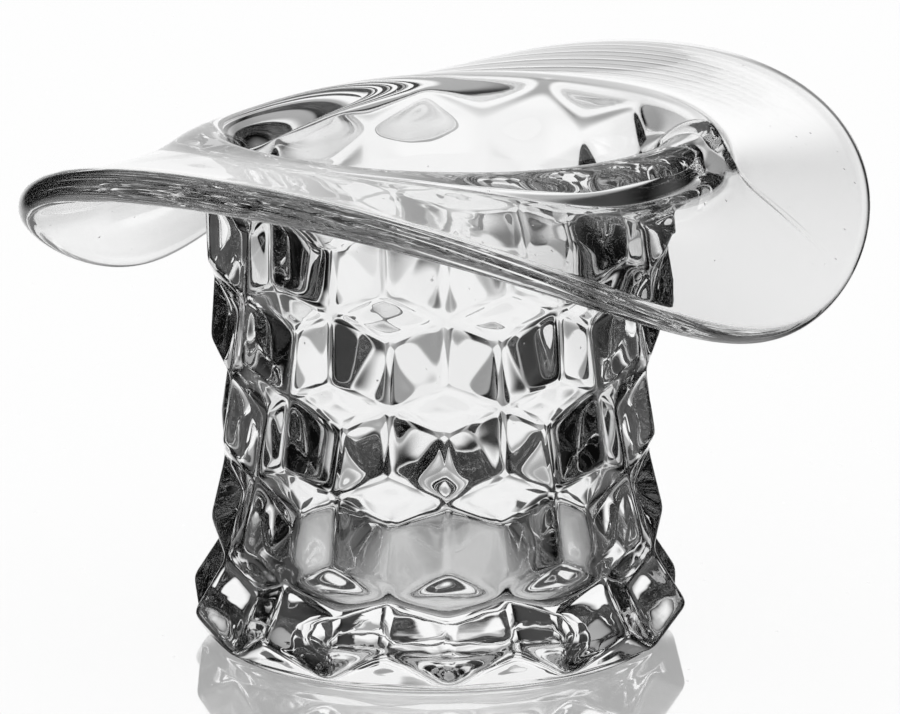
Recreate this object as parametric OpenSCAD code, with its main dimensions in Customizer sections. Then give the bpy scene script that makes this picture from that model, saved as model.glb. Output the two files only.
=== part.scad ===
// Clear pressed-glass hat that stands upside down on its crown, with a rolled brim at the top.
// Front of the hat is -Y, its right side is +X, and the crown stands on Z = 0.

/* [Crown] */
// Height of the moulded crown, up to the flat ring where the brim begins
crown_h = 66; // [56:1:80]
// Height of the waist, the slimmest part of the crown
waist_z = 33; // [26:1:40]
// Radius of the waist at the six-way corners of the cubes
waist_r = 30.2; // [28:0.1:36]
// How much wider than the waist the crown gets at its foot
foot_flare = 4.6; // [1:0.1:7]
// How much wider than the waist the crown gets under the brim
rim_flare = 3.5; // [1:0.1:7]
// Radius of the standing edge
base_r = 32.2; // [29:0.1:36]

/* [Cube relief] */
// Cubes around the crown
cubes = 12; // [8:1:16]
// Rows of cubes, one above the other
rows = 5; // [3:1:6]
// Turn of the relief against the brim, in degrees
relief_turn = 2.5; // [0:0.5:30]
// Height of one row of cubes
row_pitch = 13.1; // [11:0.1:14]
// Height of the lowest corners above the table
foot_z = 1.7; // [0.8:0.1:4]
// Half height of the lozenge on top of each cube
lozenge_h = 3.8; // [2:0.1:5.5]
// Height of the half lozenges of the foot row
foot_lozenge_h = 4.4; // [2:0.1:5.5]
// How far the cube peaks stand out from the six-way corners
peak_out = 1.5; // [0.4:0.1:3]
// How far the foot row's peaks stand out
foot_peak_out = 3.4; // [0.4:0.1:4]
// How far the hollows between cubes lie back from the six-way corners
valley_in = 2.4; // [0.4:0.1:3]

/* [Hollow] */
// Thickness of the floor inside the crown
floor_t = 7.5; // [5:0.5:20]
// Radius of the hollow at its floor
floor_r = 22.6; // [18:0.1:23.5]
// Rounding where the floor meets the wall
floor_round = 7; // [2:0.5:12]
// Radius of the hollow at the top of the crown
neck_r = 26.2; // [24:0.1:28.4]

/* [Brim] */
// Height of the brim's top face beside the mouth
mouth_z = 74.4; // [72:0.1:82]
// Thickness of the brim beside the mouth
brim_t = 3.2; // [2:0.1:3.8]
// Width of the fillet under the brim, outside the lip
fillet_w = 6; // [4:0.5:9]
// Reach of the front edge from the middle
front_reach = 69.6; // [60:0.2:80]
// Reach of the back edge from the middle
back_reach = 71.2; // [60:0.2:80]
// Reach of the right side, which is rolled down
right_reach = 55.9; // [48:0.1:66]
// Reach of the left side, which is rolled down
left_reach = 50.6; // [48:0.2:66]
// Height of the front edge's underside
front_edge_z = 75; // [66:0.2:82]
// Height of the back edge's underside
back_edge_z = 69.8; // [66:0.2:82]
// Height of the right edge's underside
right_edge_z = 49.2; // [42:0.2:70]
// Height of the left edge's underside
left_edge_z = 48.4; // [42:0.2:70]
// Thickness of the front edge
front_edge_t = 4.7; // [2.4:0.1:6]
// Thickness of the back edge
back_edge_t = 3.6; // [2.4:0.1:6]
// Thickness of the right edge
right_edge_t = 3.6; // [2.4:0.1:6]
// Thickness of the left edge
left_edge_t = 4.4; // [2.4:0.1:6]
// How late the sides roll down, from 1 for a straight slope
roll_power = 1.6; // [1.2:0.05:2.4]

/* [Lip of the mouth] */
// Radius of the lip at the front
front_lip_r = 33; // [31:0.1:38]
// Radius of the lip at the back
back_lip_r = 33.2; // [31:0.1:38]
// Radius of the lip at the right, where the glass is folded over
right_lip_r = 37.4; // [31:0.1:40]
// Radius of the lip at the left
left_lip_r = 33.4; // [31:0.1:40]
// Share of the roll that the lip stands up again at the right
right_lip_rise = 1; // [0:0.05:1]
// Share of the roll that the lip stands up again at the left
left_lip_rise = 0.3; // [0:0.05:1]
// How far the raised lip reaches out over the brim
lip_w = 3.4; // [2.4:0.1:6]
// Width of the lip's tight turn into the bell
bell_turn = 4.6; // [3:0.1:5.5]
// Depth over which the bell leans in towards the neck
bell_drop = 5; // [3:0.5:7]
// Share of the way out from the neck at that depth
bell_lean = 0.5; // [0.2:0.05:0.9]

/* [Hidden] */
glass = [0.86, 0.91, 0.92, 0.55];
$fn = 96;
// Small overlap for cuts
cut = 1;
// Exponent of the flare towards the foot and towards the brim
foot_power = 2.5;
rim_power = 2;
cube_step = 360 / cubes;
cube_half = cube_step / 2;
// Height of the middle of the brim at its lip
level = mouth_z - brim_t / 2;
// Loft divisions of the brim
steps_per_cube = 8;
brim_steps = cubes * steps_per_cube;
fillet_steps = 5;
face_steps = 7;
edge_steps = 4;
bell_steps = 8;
floor_steps = 8;
// Step for slopes worked out from differences
slope_step = 0.01;

function cylinder_point(r, a, z) = [r * cos(a), r * sin(a), z];
function mix(a, b, t) = a * (1 - t) + b * t;
function bezier(p, q, r, t) = mix(mix(p, q, t), mix(q, r, t), t);
function cubic(p, q, r, s, t) = mix(bezier(p, q, r, t), bezier(q, r, s, t), t);

// Smooth outline of the crown through the six-way corners
function waisted_r(z) =
    z < waist_z
    ? waist_r + foot_flare * pow((waist_z - z) / waist_z, foot_power)
    : waist_r + rim_flare * pow((z - waist_z) / (crown_h - waist_z), rim_power);

// Rows count from the foot, 0, to the ring under the brim
function row_z(k) = k == 0 ? foot_z : crown_h - (rows - k) * row_pitch;
function six_angle(k, i) = relief_turn + cube_step * i + (k % 2) * cube_half;
function six_point(k, i) = cylinder_point(waisted_r(row_z(k)), six_angle(k, i), row_z(k));
function peak_point(k, i) =
    let (up = k == 0 ? foot_lozenge_h : lozenge_h)
    let (out = k == 0 ? foot_peak_out : peak_out)
    let (z = row_z(k) + up)
    cylinder_point(waisted_r(z) + out, six_angle(k, i) + cube_half, z);
function valley_point(k, i) =
    let (z = row_z(k) - lozenge_h)
    cylinder_point(waisted_r(z) - valley_in, six_angle(k, i) + cube_half, z);

// Places of the corners in the list of points
function around(i) = (i + cubes) % cubes;
function six(k, i) = k * cubes + around(i);
function peak(k, i) = (rows + 1 + k) * cubes + around(i);
function valley(k, i) = (2 * rows + k) * cubes + around(i);
function base(i) = (3 * rows + 1) * cubes + (i + 2 * cubes) % (2 * cubes);
// The six-way corner above peak i of row k
function above(k, i) = i + k % 2;

module crown_block() {
    points = concat(
        [for (k = [0:rows], i = [0:cubes - 1]) six_point(k, i)],
        [for (k = [0:rows - 1], i = [0:cubes - 1]) peak_point(k, i)],
        [for (k = [1:rows], i = [0:cubes - 1]) valley_point(k, i)],
        [for (i = [0:2 * cubes - 1]) cylinder_point(base_r, six_angle(0, i / 2), 0)]
    );
    lozenges = [
        for (k = [1:rows - 1], i = [0:cubes - 1])
            each [[six(k, i), peak(k, i), valley(k, i)], [peak(k, i), six(k, i + 1), valley(k, i)]]
    ];
    half_lozenges = [
        for (i = [0:cubes - 1])
            each [[six(0, i), peak(0, i), six(0, i + 1)], [six(rows, i), six(rows, i + 1), valley(rows, i)]]
    ];
    right_sides = [
        for (k = [0:rows - 1], i = [0:cubes - 1])
            let (j = above(k, i))
            each [[peak(k, i), six(k + 1, j), six(k, i + 1)], [six(k + 1, j), valley(k + 1, j), six(k, i + 1)]]
    ];
    left_sides = [
        for (k = [0:rows - 1], i = [0:cubes - 1])
            let (j = above(k, i))
            each [[six(k, i), valley(k + 1, j - 1), six(k + 1, j)], [six(k, i), six(k + 1, j), peak(k, i)]]
    ];
    foot_band = [
        for (i = [0:cubes - 1])
            each [
                [six(0, i), base(2 * i + 1), base(2 * i)],
                [six(0, i), six(0, i + 1), base(2 * i + 1)],
                [six(0, i + 1), base(2 * i + 2), base(2 * i + 1)]
            ]
    ];
    ends = [[for (i = [cubes - 1:-1:0]) six(rows, i)], [for (i = [0:2 * cubes - 1]) base(i)]];
    polyhedron(points, concat(lozenges, half_lozenges, right_sides, left_sides, foot_band, ends), convexity = 6);
}

// Smooth round inside: flat floor, rounded corner and a wall that opens towards the mouth
module hollow() {
    corner = [
        for (n = [0:floor_steps])
            let (a = 90 * n / floor_steps)
            [floor_r - floor_round + floor_round * sin(a), floor_t + floor_round - floor_round * cos(a)]
    ];
    top = [[neck_r, crown_h], [neck_r, crown_h + cut], [0, crown_h + cut]];
    rotate_extrude() polygon(concat([[0, floor_t]], corner, top));
}

module crown() {
    color(glass) difference() {
        crown_block();
        hollow();
    }
}

// A value given at the right, left, front and back, and blended between them around the hat
function blended(right, left, front, back, a) =
    (right + left) / 2 * pow(cos(a), 2) + (front + back) / 2 * pow(sin(a), 2)
    + (right - left) / 2 * cos(a) + (back - front) / 2 * sin(a);
function edge_half(a) = blended(right_edge_t, left_edge_t, front_edge_t, back_edge_t, a) / 2;
function edge_reach(a) = blended(right_reach, left_reach, front_reach, back_reach, a) - edge_half(a);
function edge_z(a) = blended(right_edge_z, left_edge_z, front_edge_z, back_edge_z, a) + edge_half(a);
function lip_r(a) = blended(right_lip_r, left_lip_r, front_lip_r, back_lip_r, a);
function lip_rise(a) =
    let (between = (right_lip_rise + left_lip_rise) / 2)
    blended(right_lip_rise, left_lip_rise, between, between, a);

// Middle of the brim's thickness at radius r in direction a: rolled down from the neck, with a level lip on it
function rolled_z(r, a) =
    let (t = max(0, r - neck_r) / (edge_reach(a) - neck_r))
    level + (edge_z(a) - level) * pow(t, roll_power);
function rolled_slope(r, a) = (rolled_z(r + slope_step, a) - rolled_z(r - slope_step, a)) / (2 * slope_step);
function middle_z(r, a) =
    let (lip = lip_r(a))
    let (lift = level - rolled_z(lip, a) - rolled_slope(lip, a) * (r - lip))
    rolled_z(r, a) + lip_rise(a) * lift * exp(-pow((r - lip) / lip_w, 2));
function middle_slope(r, a) = (middle_z(r + slope_step, a) - middle_z(r - slope_step, a)) / (2 * slope_step);
// Unit vector along the brim, outward, as radius and height
function middle_dir(r, a) = let (m = middle_slope(r, a)) [1, m] / sqrt(1 + m * m);
// Half of the brim's thickness, from the lip to the thicker edge
function half_t(r, a) =
    let (t = min(1, max(0, (r - lip_r(a)) / (edge_reach(a) - lip_r(a)))))
    mix(brim_t / 2, edge_half(a), t * t * (3 - 2 * t));
// Point of the brim's section: middle at r, turned by angle w round it at half the thickness
function skin(r, a, w) =
    let (d = middle_dir(r, a))
    [r, middle_z(r, a)] + half_t(r, a) * (cos(w) * d + sin(w) * [-d[1], d[0]]);

// Outline of the crown's top ring, a polygon through its corners
function ring_r(a) =
    let (from_corner = (a - six_angle(rows, 0) + 360 * 2) % cube_step)
    waisted_r(crown_h) * cos(cube_half) / cos(from_corner - cube_half);

// Where a tangent at point p with direction d crosses radius r
function tangent_at(p, d, r) = [r, p[1] + (r - p[0]) * d[1] / d[0]];

// Closed section of the brim in direction a: seat, fillet, underside, round edge, top face, bell mouth
function brim_section(a) =
    let (reach = edge_reach(a))
    let (ring = ring_r(a))
    let (top_from = lip_r(a))
    let (under_from = top_from + fillet_w)
    let (fillet_end = skin(under_from, a, -90))
    let (fillet_knee = tangent_at(fillet_end, middle_dir(under_from, a), ring))
    let (bell_end = skin(top_from, a, 90))
    let (throat = tangent_at(bell_end, middle_dir(top_from, a), bell_end[0] - bell_turn))
    let (bell_low = [mix(neck_r, throat[0], bell_lean), throat[1] - bell_drop])
    concat(
        [for (n = [0:fillet_steps - 1]) bezier([ring, crown_h], fillet_knee, fillet_end, n / fillet_steps)],
        [for (n = [0:face_steps - 1]) skin(mix(under_from, reach, n / face_steps), a, -90)],
        [for (n = [0:edge_steps]) skin(reach, a, -90 + 180 * n / edge_steps)],
        [for (n = [face_steps - 1:-1:1]) skin(mix(top_from, reach, n / face_steps), a, 90)],
        [for (n = [0:bell_steps]) cubic(bell_end, throat, bell_low, [neck_r, crown_h], n / bell_steps)]
    );

module brim() {
    sections = [
        for (n = [0:brim_steps - 1])
            let (a = six_angle(rows, 0) + 360 * n / brim_steps)
            [for (p = brim_section(a)) cylinder_point(p[0], a, p[1])]
    ];
    count = len(sections[0]);
    points = [for (s = sections) each s];
    faces = [
        for (n = [0:brim_steps - 1], m = [0:count - 1])
            let (here = n * count, next = (n + 1) % brim_steps * count, up = (m + 1) % count)
            each [[here + m, here + up, next + up], [here + m, next + up, next + m]]
    ];
    color(glass) polyhedron(points, faces, convexity = 8);
}

crown();
brim();
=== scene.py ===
import math
from functools import partial

import bpy
import numpy as np
from mathutils import Matrix, Vector


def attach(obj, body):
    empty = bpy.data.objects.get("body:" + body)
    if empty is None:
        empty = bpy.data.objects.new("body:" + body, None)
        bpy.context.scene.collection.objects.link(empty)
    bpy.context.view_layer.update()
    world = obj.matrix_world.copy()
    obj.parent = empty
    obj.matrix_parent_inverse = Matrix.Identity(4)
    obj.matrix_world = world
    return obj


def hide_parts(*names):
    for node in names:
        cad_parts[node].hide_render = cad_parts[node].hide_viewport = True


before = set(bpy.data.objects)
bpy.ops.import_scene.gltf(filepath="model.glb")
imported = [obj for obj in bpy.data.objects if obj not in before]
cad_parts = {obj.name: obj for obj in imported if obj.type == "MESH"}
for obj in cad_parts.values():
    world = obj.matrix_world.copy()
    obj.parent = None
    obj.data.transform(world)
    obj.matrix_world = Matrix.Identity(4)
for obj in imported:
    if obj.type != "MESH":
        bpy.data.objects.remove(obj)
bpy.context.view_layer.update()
scene = bpy.context.scene
mm = 0.001
photoSide = 30.0  # azimuth that the photograph was taken from

# Lengths of the hat are in millimetres and angles in degrees
crown = {
    "top": 66.0,
    "waistZ": 33.0,
    "waistR": 30.2,
    "footFlare": 4.6,
    "footPower": 2.5,
    "rimFlare": 3.5,
    "rimPower": 2.0,
    "baseR": 32.2,
    "baseRound": 1.3,
}
relief = {
    "cubes": 12,
    "rows": 5,
    "turn": 2.5,
    "pitch": 13.1,
    "footZ": 1.7,
    "lozenge": 3.8,
    "footLozenge": 4.4,
    "peakOut": 1.5,
    "footPeakOut": 3.4,
    "valleyIn": 2.4,
    "edgeRound": 0.68,
}
# The base is dished, so that the hat stands on a narrow ring
dish = {
    "radius": 30.5,
    "depth": 2.4,
    "power": 6,
}
hollow = {
    "floorZ": 7.5,
    "floorR": 22.6,
    "floorRound": 7.0,
    "neckR": 26.2,
}
# Values in fours are for the right, left, front and back of the hat
brim = {
    "mouthZ": 74.4,
    "thickness": 3.2,
    "edgeThickness": (3.6, 4.4, 4.7, 3.6),
    "lipR": (37.4, 33.4, 33.0, 33.2),
    "lipKept": (1.0, 0.3, 0.6, 0.6),
    "lipWidth": 3.4,
    "bellTurn": 4.6,
    "throatDrop": 5.0,
    "throatLean": 0.5,
    "throatFrom": 64.0,
    "throatSlack": 1.5,
    "throatStep": 0.3,
    "filletWidth": 6.0,
    "filletStart": (31.0, 62.5),
    "filletKnee": 1.2,
    "filletSoft": 0.5,
    "reach": (55.9, 50.6, 69.6, 71.2),
    "edgeBottom": (49.2, 48.4, 75.0, 69.8),
    "edgeBlend": 1.0,
    "rollPower": 1.6,
}
# The corner of the mouth where the lip was folded, and the crease that runs out from it
pinch = {
    "angle": 21.0,
    "lipR": 37.4,
    "rise": 1.2,
    "width": 2.6,
    "creaseTo": 57.0,
    "creaseStart": 1.0,
    "creaseFade": 6.0,
    "creaseRise": 0.3,
    "creaseWidth": 0.35,
}
# Uneven surface of hand-finished glass: height, wavelengths across and how far it turns around
waves = {
    "hollow": (0.006, 8.0, 20.0, 5),
    "relief": (0.002, 5.0, 12.0, 8),
    "brim": (0.012, 12.0, 30.0, 3),
    "edge": (0.0012, 2.5, 7.0, 1),
    "foot": (0.006, 1.2, 4.0, 60),
}
# Where those ripples lie: shares by side of the hat, and heights on the foot
rippling = {
    "count": 14,
    "blendRings": 4,
    "backShare": 0.04,
    "leftLean": 0.5,
    "brimCalm": (-0.3, 0.7),
    "edgeSeed": 11,
    "edgeSpread": 6.0,
    "edgeCalm": (-0.1, 0.7),
    "footSeed": 23,
    "footLow": (0.5, 3.0),
    "footHigh": (9.0, 16.0),
}
meshing = {
    "columns": 480,
    "reliefStep": 0.32,
    "reliefGap": 0.2,
    "tableStep": 0.2,
    "tableOver": 12.0,
    "slopeStep": 0.01,
    "innerR": (2.0, 3.0),
    "baseRings": 30,
    "baseCorner": (15, 75, 4),
    "filletRings": 34,
    "underRings": 46,
    "edgeRings": 31,
    "topRings": 60,
    "bellRings": 50,
    "wallRings": 44,
    "cornerRings": 12,
    "floorRings": 6,
}


def waistedRadius(z):
    low = np.clip((crown["waistZ"] - z) / crown["waistZ"], 0, None)
    high = np.clip((z - crown["waistZ"]) / (crown["top"] - crown["waistZ"]), 0, None)
    return (
        crown["waistR"]
        + crown["footFlare"] * low ** crown["footPower"]
        + crown["rimFlare"] * high ** crown["rimPower"]
    )


def rowHeight(k):
    return relief["footZ"] if k == 0 else crown["top"] - (relief["rows"] - k) * relief["pitch"]


def rowCorners(k):
    # Heights and radii of one row's six-way corners, peaks and valleys
    z = rowHeight(k)
    up = relief["footLozenge"] if k == 0 else relief["lozenge"]
    out = relief["footPeakOut"] if k == 0 else relief["peakOut"]
    return {
        "z": z,
        "up": up,
        "six": float(waistedRadius(z)),
        "peak": float(waistedRadius(z + up)) + out,
        "valley": float(waistedRadius(z - relief["lozenge"])) - relief["valleyIn"],
    }


halfStep = 180.0 / relief["cubes"]


def lozengeRadius(row, a, b, isFoot):
    # a and b run from -1 to 1 along the lozenge's width and height
    h = math.radians(halfStep)
    sixX, sixY = row["six"] * math.cos(h), row["six"] * math.sin(h)
    if isFoot:
        x = row["peak"] * b + sixX * (1 - b)
    else:
        u, v = (1 + a + b) / 2, (1 + b - a) / 2
        x = (1 - u) * (1 - v) * row["valley"] + (u + v - 2 * u * v) * sixX + u * v * row["peak"]
    return np.hypot(x, a * sixY)


def reliefRadius(angle, z):
    # Radius of the sharp cube pattern for rows of heights and columns of angles
    radius = np.zeros((len(z), len(angle)))
    h = math.radians(halfStep)
    for k in range(relief["rows"] + 1):
        low, high = rowCorners(k), rowCorners(k + 1)
        peakAngle = relief["turn"] + (k % 2) * halfStep + halfStep
        d = (angle - peakAngle + halfStep) % (2 * halfStep) - halfStep
        f = np.abs(d)[None, :] / halfStep
        inside = (z >= low["z"]) & (z < high["z"]) if k else (z < high["z"])
        zz = z[inside][:, None]
        zUp = low["z"] + low["up"] * (1 - f)
        zLow = high["z"] - relief["lozenge"] * f
        v = np.clip((zz - zUp) / (zLow - zUp), 0, 1)
        ax = low["peak"] * (1 - v) + high["six"] * v
        edge = low["six"] * (1 - v) + high["valley"] * v
        side = np.hypot(ax * (1 - f) + edge * math.cos(h) * f, edge * math.sin(h) * f)
        upper = lozengeRadius(low, f + 0 * zz, (zz - low["z"]) / low["up"] + 0 * f, k == 0)
        lower = lozengeRadius(high, 1 - f + 0 * zz, (zz - high["z"]) / relief["lozenge"] + 0 * f, False)
        band = np.where(zz < zUp, upper, np.where(zz > zLow, lower, side))
        if k == 0:
            ring = low["six"] * math.cos(h) / np.cos(np.radians(d))[None, :]
            t = np.clip(zz / low["z"], 0, 1)
            band = np.where(zz < low["z"], crown["baseR"] * (1 - t) + ring * t, band)
        radius[inside] = band
    return radius


def softened(table, rowsSigma, columnsSigma):
    # Gaussian blur, closed on itself around the hat and held at its two ends
    pad = int(rowsSigma * 4) + 2
    padded = np.concatenate([np.repeat(table[:1], pad, 0), table, np.repeat(table[-1:], pad, 0)])
    reach = np.arange(-pad, pad + 1)
    kernel = np.exp(-0.5 * (reach / rowsSigma) ** 2)
    kernel /= kernel.sum()
    rowsDone = sum(w * padded[pad + s : pad + s + len(table)] for s, w in zip(reach, kernel))
    reach = np.arange(-int(columnsSigma * 4) - 2, int(columnsSigma * 4) + 3)
    kernel = np.exp(-0.5 * (reach / columnsSigma) ** 2)
    kernel /= kernel.sum()
    return sum(w * np.roll(rowsDone, s, 1) for s, w in zip(reach, kernel))


columns = meshing["columns"]
angles = np.arange(columns) * 360.0 / columns
radians = np.radians(angles)
tableZ = np.arange(0.0, crown["top"] + meshing["tableOver"], meshing["tableStep"])
sharp = reliefRadius(angles, tableZ)
arc = 2 * math.pi * crown["waistR"] / columns
blurred = softened(sharp, relief["edgeRound"] / meshing["tableStep"], relief["edgeRound"] / arc)


def reliefAt(z):
    # Softened relief at a height per column
    place = np.clip(np.asarray(z) / meshing["tableStep"], 0, len(tableZ) - 1.001)
    low = np.floor(place).astype(int)
    t = place - low
    at = np.arange(columns)
    return blurred[low, at] * (1 - t) + blurred[low + 1, at] * t


def blended(values):
    right, left, front, back = values
    c, s = np.cos(radians), np.sin(radians)
    return (
        (right + left) / 2 * c * c
        + (front + back) / 2 * s * s
        + (right - left) / 2 * c
        + (back - front) / 2 * s
    )


edgeHalf = blended(brim["edgeThickness"]) / 2
edgeReach = blended(brim["reach"]) - edgeHalf
edgeHeight = blended(brim["edgeBottom"]) + edgeHalf
lipR = blended(brim["lipR"])
level = brim["mouthZ"] - brim["thickness"] / 2
fromPinch = (angles - pinch["angle"] + 180) % 360 - 180


def smoothStep(v, a, b):
    t = np.clip((v - a) / (b - a), 0, 1)
    return t * t * (3 - 2 * t)


def slopeOf(curve, r):
    step = meshing["slopeStep"]
    return (curve(r + step) - curve(r - step)) / (2 * step)


def middleHeight(r):
    # Height of the middle of the brim's sheet at a radius per column
    def rolled(at):
        t = np.clip(at - hollow["neckR"], 0, None) / (edgeReach - hollow["neckR"])
        return level + (edgeHeight - level) * t ** brim["rollPower"]

    # The lip of the mouth stands up from the rolled sides, more at the right than at the left
    past = (r - lipR) / brim["lipWidth"]
    lipSlope = slopeOf(rolled, lipR)
    lift = level - rolled(lipR) - lipSlope * (r - lipR)
    z = rolled(r) + blended(brim["lipKept"]) * lift * np.exp(-(past**2))
    across = np.radians(fromPinch) * r / pinch["width"]
    along = (r - pinch["lipR"]) / pinch["width"]
    return z + pinch["rise"] * np.exp(-(across**2) - along**2)


def halfThickness(r):
    t = smoothStep(r, lipR, edgeReach - brim["edgeBlend"])
    return brim["thickness"] / 2 + (edgeHalf - brim["thickness"] / 2) * t


def brimSkin(r, turn):
    # Point of the brim's section at half a thickness from its middle
    half = halfThickness(r)
    slope = slopeOf(middleHeight, r)
    dr, dz = 1 / np.sqrt(1 + slope**2), slope / np.sqrt(1 + slope**2)
    c, s = math.cos(math.radians(turn)), math.sin(math.radians(turn))
    return (
        r + half * (c * dr - s * dz),
        middleHeight(r) + half * (c * dz + s * dr),
        dr,
        dz,
    )


def bezier(p, q, r, t):
    return tuple(
        (1 - t) ** 2 * a + 2 * t * (1 - t) * b + t * t * c for a, b, c in zip(p, q, r)
    )


def cubic(p, q, r, s, t):
    weights = ((1 - t) ** 3, 3 * t * (1 - t) ** 2, 3 * t * t * (1 - t), t**3)
    return tuple(sum(w * v for w, v in zip(weights, values)) for values in zip(p, q, r, s))


def softMax(a, b, k):
    d = np.clip(0.5 + 0.5 * (a - b) / k, 0, 1)
    return b * (1 - d) + a * d + k * d * (1 - d)


ones = np.ones(columns)
rings = []
zones = []


def addRing(r, z, zone):
    rings.append((np.asarray(r) * ones, np.asarray(z) * ones))
    zones.append(zone)


# Base, from its middle to the rounded standing edge
baseStart, floorEnd = meshing["innerR"]
for r in np.linspace(baseStart, crown["baseR"] - crown["baseRound"], meshing["baseRings"]):
    addRing(r, dish["depth"] * (1 - min(1, r / dish["radius"]) ** dish["power"]), "base")
for w in np.linspace(*meshing["baseCorner"]):
    addRing(
        crown["baseR"] - crown["baseRound"] * (1 - math.sin(math.radians(w))),
        crown["baseRound"] * (1 - math.cos(math.radians(w))),
        "base",
    )
# Cube relief
filletR, filletZ = brim["filletStart"]
for z in np.arange(crown["baseRound"] + meshing["reliefGap"], filletZ, meshing["reliefStep"]):
    addRing(reliefAt(z * ones), z, "relief")
# Fillet under the brim
underFrom = lipR + brim["filletWidth"]
endR, endZ, dr, dz = brimSkin(underFrom, -90)
kneeR = filletR + brim["filletKnee"]
knee = (kneeR, endZ + (kneeR - endR) * dz / dr)
for t in np.linspace(0, 1, meshing["filletRings"])[:-1]:
    r, z = bezier((filletR, filletZ), knee, (endR, endZ), t)
    addRing(softMax(r, reliefAt(z), brim["filletSoft"]), z, "fillet")
# Underside, edge and top face of the brim
for t in np.linspace(0, 1, meshing["underRings"])[:-1]:
    r, z, _, _ = brimSkin(underFrom + (edgeReach - underFrom) * t, -90)
    addRing(r, z, "brim")
for w in np.linspace(-90, 90, meshing["edgeRings"]):
    r, z, _, _ = brimSkin(edgeReach, w)
    addRing(r, z, "edge")
for t in np.linspace(1, 0, meshing["topRings"])[1:-1]:
    r, z, _, _ = brimSkin(lipR + (edgeReach - lipR) * t, 90)
    crease = np.exp(-((np.radians(fromPinch) * r / pinch["creaseWidth"]) ** 2))
    ends = smoothStep(r, pinch["lipR"], pinch["lipR"] + pinch["creaseStart"])
    ends = ends * (1 - smoothStep(r, pinch["creaseTo"] - pinch["creaseFade"], pinch["creaseTo"]))
    addRing(r, z + pinch["creaseRise"] * crease * ends, "brim")
# Bell mouth, inner wall, rounded corner and floor
bellR, bellZ, dr, dz = brimSkin(lipR, 90)
throatR = bellR - brim["bellTurn"]
throatZ = bellZ - brim["bellTurn"] * dz / dr
flared = throatR - throatR.min()
wallR = hollow["neckR"] - brim["throatStep"]
wallZ = brim["throatFrom"] - brim["throatSlack"] * flared
for t in np.linspace(0, 1, meshing["bellRings"]):
    r, z = cubic(
        (bellR, bellZ),
        (throatR, throatZ),
        (wallR + brim["throatLean"] * (throatR - wallR), throatZ - brim["throatDrop"]),
        (wallR, wallZ),
        t,
    )
    addRing(r, z, "bell")
wallTop = rings[-1]
cornerZ = hollow["floorZ"] + hollow["floorRound"]
for t in np.linspace(0, 1, meshing["wallRings"])[1:-1]:
    addRing(
        wallTop[0] * (1 - t) + hollow["floorR"] * t,
        wallTop[1] * (1 - t) + cornerZ * t,
        "hollow",
    )
for w in np.linspace(90, 0, meshing["cornerRings"]):
    addRing(
        hollow["floorR"] - hollow["floorRound"] * (1 - math.sin(math.radians(w))),
        cornerZ - hollow["floorRound"] * math.cos(math.radians(w)),
        "hollow",
    )
for r in np.linspace(hollow["floorR"] - hollow["floorRound"], floorEnd, meshing["floorRings"])[1:]:
    addRing(r, hollow["floorZ"], "hollow")

ringR = np.array([r for r, z in rings])
ringZ = np.array([z for r, z in rings])


def waveTable(name, along, seed):
    # Sum of slow ripples over the distance along the section and around the hat
    height, shortest, longest, turns = waves[name]
    random = np.random.default_rng(seed)
    total = np.zeros_like(along)
    for _ in range(rippling["count"]):
        length = shortest * (longest / shortest) ** random.random()
        around = random.integers(-turns, turns + 1)
        total += np.cos(2 * math.pi * along / length + around * radians + random.random() * 2 * math.pi)
    return total * height / math.sqrt(rippling["count"] / 2)


# Ripples move each point along the section's own normal
along = np.concatenate(
    [np.zeros((1, columns)), np.cumsum(np.hypot(np.diff(ringR, axis=0), np.diff(ringZ, axis=0)), 0)]
)
tangentR = np.gradient(ringR, axis=0)
tangentZ = np.gradient(ringZ, axis=0)
length = np.hypot(tangentR, tangentZ) + 1e-9
zoneNames = np.array(zones)
ripple = np.zeros_like(ringR)
for seed, (names, wave) in enumerate(
    ((("hollow", "bell"), "hollow"), (("relief", "fillet"), "relief"), (("brim", "edge"), "brim"))
):
    share = np.isin(zoneNames, names).astype(float)
    blend = rippling["blendRings"]
    box = np.ones(2 * blend + 1) / (2 * blend + 1)
    share = np.convolve(np.pad(share, blend, "edge"), box, "valid")[:, None]
    if wave == "brim":
        # The back and right of the brim were left alone and are smoother
        worked = smoothStep(-np.sin(radians) - rippling["leftLean"] * np.cos(radians), *rippling["brimCalm"])
        share = share * (rippling["backShare"] + (1 - rippling["backShare"]) * worked)
    ripple += waveTable(wave, along, seed) * share
# Fine lines left by tooling, strongest at the edge
atEdge = np.where(zoneNames == "edge")[0]
edgeMiddle = along[atEdge].mean(0)
fine = np.exp(-(((along - edgeMiddle) / rippling["edgeSpread"]) ** 2))
fine = fine * smoothStep(-np.sin(radians), *rippling["edgeCalm"])
ripple += waveTable("edge", along, rippling["edgeSeed"]) * fine
# Short streaks on the foot
atFoot = smoothStep(ringZ, *rippling["footLow"]) * (1 - smoothStep(ringZ, *rippling["footHigh"]))
atFoot = atFoot * (zoneNames == "relief")[:, None]
ripple += waveTable("foot", along, rippling["footSeed"]) * atFoot
ringR = ringR + ripple * tangentZ / length
ringZ = ringZ - ripple * tangentR / length
points = np.stack([ringR * np.cos(radians), ringR * np.sin(radians), ringZ], -1).reshape(-1, 3)
basePole = len(points)
floorPole = basePole + 1
points = np.concatenate([points, [[0, 0, dish["depth"]], [0, 0, hollow["floorZ"]]]]) * mm

count = len(rings)
here = np.arange(columns)
nextOne = (here + 1) % columns
faces = []
for i in range(count - 1):
    a, b = i * columns, (i + 1) * columns
    faces += np.stack([a + here, a + nextOne, b + nextOne, b + here], -1).tolist()
faces += np.stack([nextOne, here, 0 * here + basePole], -1).tolist()
last = (count - 1) * columns
faces += np.stack([last + here, last + nextOne, 0 * here + floorPole], -1).tolist()

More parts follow.
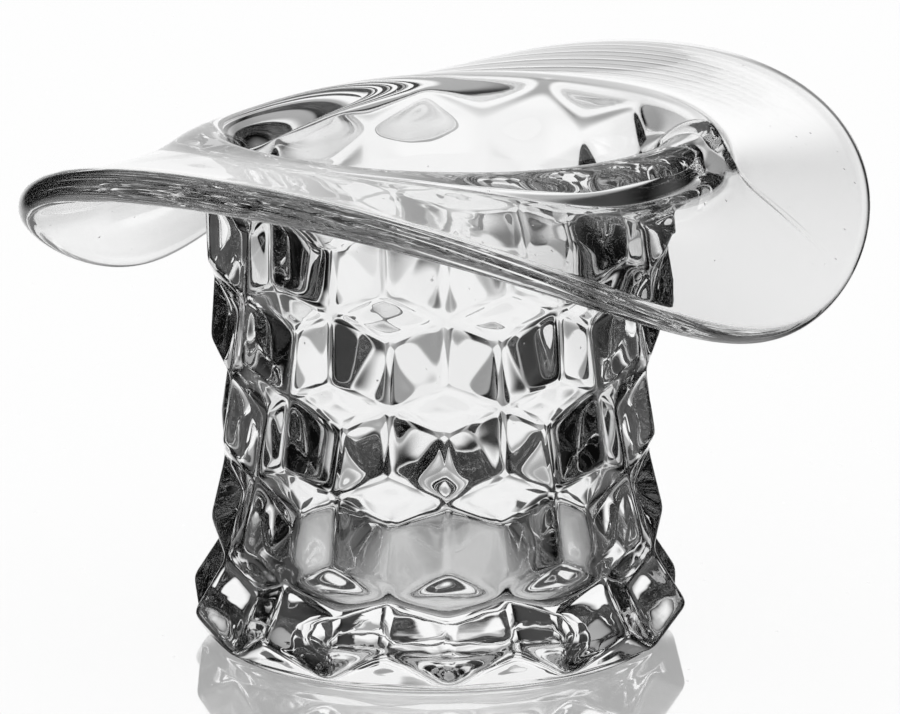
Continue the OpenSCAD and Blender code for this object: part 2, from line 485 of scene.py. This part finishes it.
mesh = bpy.data.meshes.new("glassHat")
mesh.from_pydata(points.tolist(), [], faces)
mesh.validate()
mesh.shade_smooth()
hat = bpy.data.objects.new("glassHat", mesh)
scene.collection.objects.link(hat)
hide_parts("crown", "brim")
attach(hat, "root")
print("hat mesh", len(points), "points", len(faces), "faces")


def addMath(tree, operation, *values):
    # Values may be numbers or sockets
    node = tree.nodes.new("ShaderNodeMath")
    node.operation = operation
    for socket, value in zip(node.inputs, values):
        if isinstance(value, (int, float)):
            socket.default_value = value
        else:
            tree.links.new(value, socket)
    return node.outputs[0]


def addFade(tree, value, start, end):
    # 1 up to start, then smoothly to 0 at end, and the other way round where end is the smaller
    node = tree.nodes.new("ShaderNodeMapRange")
    node.interpolation_type = "SMOOTHSTEP"
    tree.links.new(value, node.inputs["Value"])
    node.inputs["From Min"].default_value = start
    node.inputs["From Max"].default_value = end
    node.inputs["To Min"].default_value = 1
    node.inputs["To Max"].default_value = 0
    return node.outputs[0]


# Specks and the uneven skin of the surface, shared by the glass and the floor
marks = {
    "speckScale": 420.0,
    "speckSize": 0.085,
    "speckShare": 0.12,
    "speckRoughness": 0.5,
    "skinScale": 260.0,
    "skinDetail": 1,
    "skinHeight": 0.004 * mm,
}
marksGroup = bpy.data.node_groups.new("surfaceMarks", "ShaderNodeTree")
marksGroup.interface.new_socket("Vector", in_out="INPUT", socket_type="NodeSocketVector")
marksGroup.interface.new_socket("Roughness", in_out="OUTPUT", socket_type="NodeSocketFloat")
marksGroup.interface.new_socket("Height", in_out="OUTPUT", socket_type="NodeSocketFloat")
groupNodes, groupLinks = marksGroup.nodes, marksGroup.links
groupIn = groupNodes.new("NodeGroupInput")
groupOut = groupNodes.new("NodeGroupOutput")
groupMath = partial(addMath, marksGroup)
specks = groupNodes.new("ShaderNodeTexVoronoi")
specks.inputs["Scale"].default_value = marks["speckScale"]
groupLinks.new(groupIn.outputs["Vector"], specks.inputs["Vector"])
chosen = groupNodes.new("ShaderNodeSeparateColor")
groupLinks.new(specks.outputs["Color"], chosen.inputs[0])
speck = groupMath(
    "MULTIPLY",
    groupMath("LESS_THAN", specks.outputs["Distance"], marks["speckSize"]),
    groupMath("LESS_THAN", chosen.outputs[0], marks["speckShare"]),
)
groupLinks.new(groupMath("MULTIPLY", speck, marks["speckRoughness"]), groupOut.inputs["Roughness"])
skin = groupNodes.new("ShaderNodeTexNoise")
skin.inputs["Scale"].default_value = marks["skinScale"]
skin.inputs["Detail"].default_value = marks["skinDetail"]
groupLinks.new(groupIn.outputs["Vector"], skin.inputs["Vector"])
groupLinks.new(groupMath("ADD", skin.outputs[0], speck), groupOut.inputs["Height"])


def addMarks(material):
    # Puts the shared marks into a material and gives back the group node
    nodes, links = material.node_tree.nodes, material.node_tree.links
    group = nodes.new("ShaderNodeGroup")
    group.node_tree = marksGroup
    links.new(nodes.new("ShaderNodeTexCoord").outputs["Object"], group.inputs["Vector"])
    return group


# Colourless glass
clear = {
    "color": (0.997, 0.998, 0.998, 1),
    "ior": 1.52,
}
glass = bpy.data.materials.new("clearGlass")
glass.use_nodes = True
nodes, links = glass.node_tree.nodes, glass.node_tree.links
shader = nodes["Principled BSDF"]
shader.inputs["Base Color"].default_value = clear["color"]
shader.inputs["IOR"].default_value = clear["ior"]
shader.inputs["Transmission Weight"].default_value = 1.0
glassMarks = addMarks(glass)
links.new(glassMarks.outputs["Roughness"], shader.inputs["Roughness"])
bump = nodes.new("ShaderNodeBump")
bump.inputs["Distance"].default_value = marks["skinHeight"]
links.new(glassMarks.outputs["Height"], bump.inputs["Height"])
links.new(bump.outputs["Normal"], shader.inputs["Normal"])
mesh.materials.append(glass)
print("glass done")

# Floor: a glossy white sheet, in metres. The camera sees it white with the hat's shadow and reflection, and
# rays mirrored in the glass see it as a mirror.
# Under the hat, seen through the glass, it carries a painted pool of light
sheet = {
    "half": 6.0,
    "gap": 0.00005,
    "white": 0.99,
    "whiteShare": 0.75,
    "gloss": 0.8,
    "mirror": 0.985,
    "roughness": 0.05,
    # Painted light under the hat: the painted glow's strength, and the radii it fades out between
    "paintedUnderLight": 0.52,
    "paintedUnderRadius": (0.004, 0.032),
    "wedgeStart": 0.02,
    "wedgeHalf": 0.08,
    "wedgeSpread": 0.6,
    "wedgeFacing": (0.426, 0.234),
}
floorMesh = bpy.data.meshes.new("floor")
half = sheet["half"]
corners = [(-half, -half, 0), (half, -half, 0), (half, half, 0), (-half, half, 0)]
floorMesh.from_pydata(corners, [], [(0, 1, 2, 3)])
floor = bpy.data.objects.new("floor", floorMesh)
floor.location.z = -sheet["gap"]
scene.collection.objects.link(floor)
floorMat = bpy.data.materials.new("floorWhite")
floorMat.use_nodes = True
floorNodes, floorLinks = floorMat.node_tree.nodes, floorMat.node_tree.links
floorMath = partial(addMath, floorMat.node_tree)
floorFade = partial(addFade, floorMat.node_tree)


def mixedShader(share, first, second):
    # Share may be a number or a socket
    node = floorNodes.new("ShaderNodeMixShader")
    if isinstance(share, float):
        node.inputs["Fac"].default_value = share
    else:
        floorLinks.new(share, node.inputs["Fac"])
    floorLinks.new(first.outputs[0], node.inputs[1])
    floorLinks.new(second.outputs[0], node.inputs[2])
    return node


lit = floorNodes["Principled BSDF"]
lit.inputs["Base Color"].default_value = (sheet["white"], sheet["white"], sheet["white"], 1)
lit.inputs["Specular IOR Level"].default_value = 0
white = floorNodes.new("ShaderNodeEmission")
mirror = floorNodes.new("ShaderNodeBsdfGlossy")
mirror.inputs["Color"].default_value = (sheet["mirror"], sheet["mirror"], sheet["mirror"], 1)
floorMarks = addMarks(floorMat)
floorRough = floorMath("ADD", floorMarks.outputs["Roughness"], sheet["roughness"])
floorLinks.new(floorRough, mirror.inputs["Roughness"])
# Painted light: an emission patch on the floor under the hat, seen only through the glass, stands in for
# light passing through the glass onto the floor
paintedUnderGlow = floorNodes.new("ShaderNodeEmission")
paintedUnderGlow.inputs["Strength"].default_value = sheet["paintedUnderLight"]
fromMiddle = floorNodes.new("ShaderNodeVectorMath")
fromMiddle.operation = "LENGTH"
floorPlace = floorNodes.new("ShaderNodeTexCoord").outputs["Object"]
floorLinks.new(floorPlace, fromMiddle.inputs[0])
paintedUnderMask = floorFade(fromMiddle.outputs["Value"], *sheet["paintedUnderRadius"])
floorPath = floorNodes.new("ShaderNodeLightPath")
throughGlass = floorMath("GREATER_THAN", floorPath.outputs["Transmission Depth"], 0.5)
mirrored = floorMath("GREATER_THAN", floorPath.outputs["Glossy Depth"], 0.5)


def floorDistance(way):
    # Metres from the middle of the hat along a direction
    node = floorNodes.new("ShaderNodeVectorMath")
    node.operation = "DOT_PRODUCT"
    floorLinks.new(floorPlace, node.inputs[0])
    node.inputs[1].default_value = way
    return node.outputs["Value"]


# Seen straight through the glass and at a low angle, the floor mirrors the panel in a wedge behind the hat
side = math.radians(photoSide)
backward = floorDistance((-math.sin(side), math.cos(side), 0))
sideways = floorDistance((math.cos(side), math.sin(side), 0))
wedge = floorMath("MULTIPLY_ADD", backward, sheet["wedgeSpread"], sheet["wedgeHalf"])
wedge = floorMath("SUBTRACT", wedge, floorMath("ABSOLUTE", sideways))
wedge = floorMath("MINIMUM", wedge, floorMath("ADD", backward, sheet["wedgeStart"]))
inWedge = floorMath("GREATER_THAN", wedge, 0.0)
facing = floorNodes.new("ShaderNodeLayerWeight").outputs["Facing"]
behind = floorMath("MULTIPLY", inWedge, floorFade(facing, *sheet["wedgeFacing"]))
plain = mixedShader(sheet["whiteShare"], lit, white)
glancing = floorMath("MULTIPLY", facing, sheet["gloss"])
bare = mixedShader(mirrored, mixedShader(glancing, plain, mirror), mirror)
behindGlass = mixedShader(floorMath("MAXIMUM", mirrored, behind), plain, mirror)
around = mixedShader(throughGlass, bare, behindGlass)
# Rays through the glass see the painted pool of light under the hat
sheetShader = mixedShader(floorMath("MULTIPLY", paintedUnderMask, throughGlass), around, paintedUnderGlow)
floorLinks.new(sheetShader.outputs[0], floorNodes["Material Output"].inputs["Surface"])
floorMesh.materials.append(floorMat)
print("floor done")

# Studio seen by reflected and refracted rays: white panels around a dark room
studio = {
    "panelHalf": (16.0, 28.0),
    "panelTop": (18.0, 30.0),
    "upperLight": 0.4,
    "upperTop": (52.0, 66.0),
    "otherLight": 0.012,
    "ceilingFrom": (42.0, 26.0),
    "roomLight": 0.003,
}
world = bpy.data.worlds.new("studio")
scene.world = world
world.use_nodes = True
worldNodes, worldLinks = world.node_tree.nodes, world.node_tree.links
worldMath = partial(addMath, world.node_tree)
worldFade = partial(addFade, world.node_tree)
direction = worldNodes.new("ShaderNodeSeparateXYZ")
worldLinks.new(worldNodes.new("ShaderNodeTexCoord").outputs["Generated"], direction.inputs[0])
toDegrees = 180 / math.pi
azimuth = worldMath("ARCTAN2", direction.outputs["Y"], direction.outputs["X"])
azimuth = worldMath("MULTIPLY", azimuth, toDegrees)
elevation = worldMath("MULTIPLY", worldMath("ARCSINE", direction.outputs["Z"]), toDegrees)
# Degrees away from the middle of the panel behind the hat, as the photograph sees it
fromBack = worldMath("FLOORED_MODULO", worldMath("ADD", azimuth, 90 - photoSide), 360.0)
fromBack = worldMath("ABSOLUTE", worldMath("SUBTRACT", fromBack, 180.0))
upward = worldMath(
    "ADD",
    worldMath("MULTIPLY", worldFade(elevation, *studio["panelTop"]), 1 - studio["upperLight"]),
    worldMath("MULTIPLY", worldFade(elevation, *studio["upperTop"]), studio["upperLight"]),
)
backPanel = worldMath("MULTIPLY", worldFade(fromBack, *studio["panelHalf"]), upward)
path = worldNodes.new("ShaderNodeLightPath")
# Reflections off the glass are sharp or come second, and the floor's own, seen by the camera, is neither
outside = worldMath("LESS_THAN", path.outputs["Transmission Depth"], 0.5)
repeated = worldMath("GREATER_THAN", path.outputs["Glossy Depth"], 1.5)
offGlass = worldMath("MAXIMUM", path.outputs["Is Singular Ray"], repeated)
sharpMirror = worldMath("MULTIPLY", path.outputs["Is Glossy Ray"], offGlass)
reflected = worldMath("MULTIPLY", outside, sharpMirror)
straight = worldMath("LESS_THAN", path.outputs["Glossy Depth"], 0.5)
# The front and side panels are bright only to rays that were not mirrored inside the glass, and to its sheen
quarter = worldMath("FLOORED_MODULO", worldMath("ADD", fromBack, 45.0), 90.0)
fromPanel = worldMath("ABSOLUTE", worldMath("SUBTRACT", quarter, 45.0))
others = worldMath("MAXIMUM", worldMath("MAXIMUM", straight, reflected), studio["otherLight"])
others = worldMath("MULTIPLY", others, worldFade(fromPanel, *studio["panelHalf"]))
others = worldMath("MULTIPLY", others, worldFade(elevation, *studio["panelTop"]))
# Seen only as a sheen on upward faces
ceiling = worldMath("MULTIPLY", worldFade(elevation, *studio["ceilingFrom"]), reflected)
room = worldMath("MAXIMUM", worldMath("MAXIMUM", backPanel, others), ceiling)
room = worldMath("MAXIMUM", room, studio["roomLight"])
# The camera, the floor's own reflection and the light on the floor see plain white. The glass sees the room
direct = worldMath("SUBTRACT", outside, reflected)
onFloor = worldMath("GREATER_THAN", path.outputs["Diffuse Depth"], 0.5)
brightness = worldMath("MAXIMUM", room, worldMath("MAXIMUM", direct, onFloor))
grey = worldNodes.new("ShaderNodeCombineColor")
for socket in grey.inputs[:3]:
    worldLinks.new(brightness, socket)
worldLinks.new(grey.outputs[0], worldNodes["Background"].inputs["Color"])
worldNodes["Background"].inputs["Strength"].default_value = 1.0

# Camera
photoCamera = {
    "elevation": 14.373,
    "distance": 951.5,
    "aim": (0.0, 0.0, 33.24),
    "aimRight": 1.92,
    "aimUp": 6.66,
    "roll": -0.365,
    "lens": 268.6,
}
a, e = math.radians(photoSide), math.radians(photoCamera["elevation"])
back = Vector((math.sin(a) * math.cos(e), -math.cos(a) * math.cos(e), math.sin(e)))
aim = Vector(photoCamera["aim"]) * mm
place = aim + back * photoCamera["distance"] * mm
right = Vector((math.cos(a), math.sin(a), 0))
up = back.cross(right)
target = aim + right * photoCamera["aimRight"] * mm + up * photoCamera["aimUp"] * mm
camData = bpy.data.cameras.new("camera")
camData.lens = photoCamera["lens"]
camData.sensor_width = 36
camera = bpy.data.objects.new("camera", camData)
scene.collection.objects.link(camera)
turned = (place - target).to_track_quat("Z", "Y").to_matrix().to_4x4()
camera.matrix_world = (
    Matrix.Translation(place) @ turned @ Matrix.Rotation(math.radians(photoCamera["roll"]), 4, "Z")
)
camData.clip_start, camData.clip_end = 0.01, 50
scene.camera = camera
scene.view_settings.view_transform = "Standard"
scene.cycles.max_bounces = 64
scene.cycles.transmission_bounces = 48
scene.cycles.glossy_bounces = 48
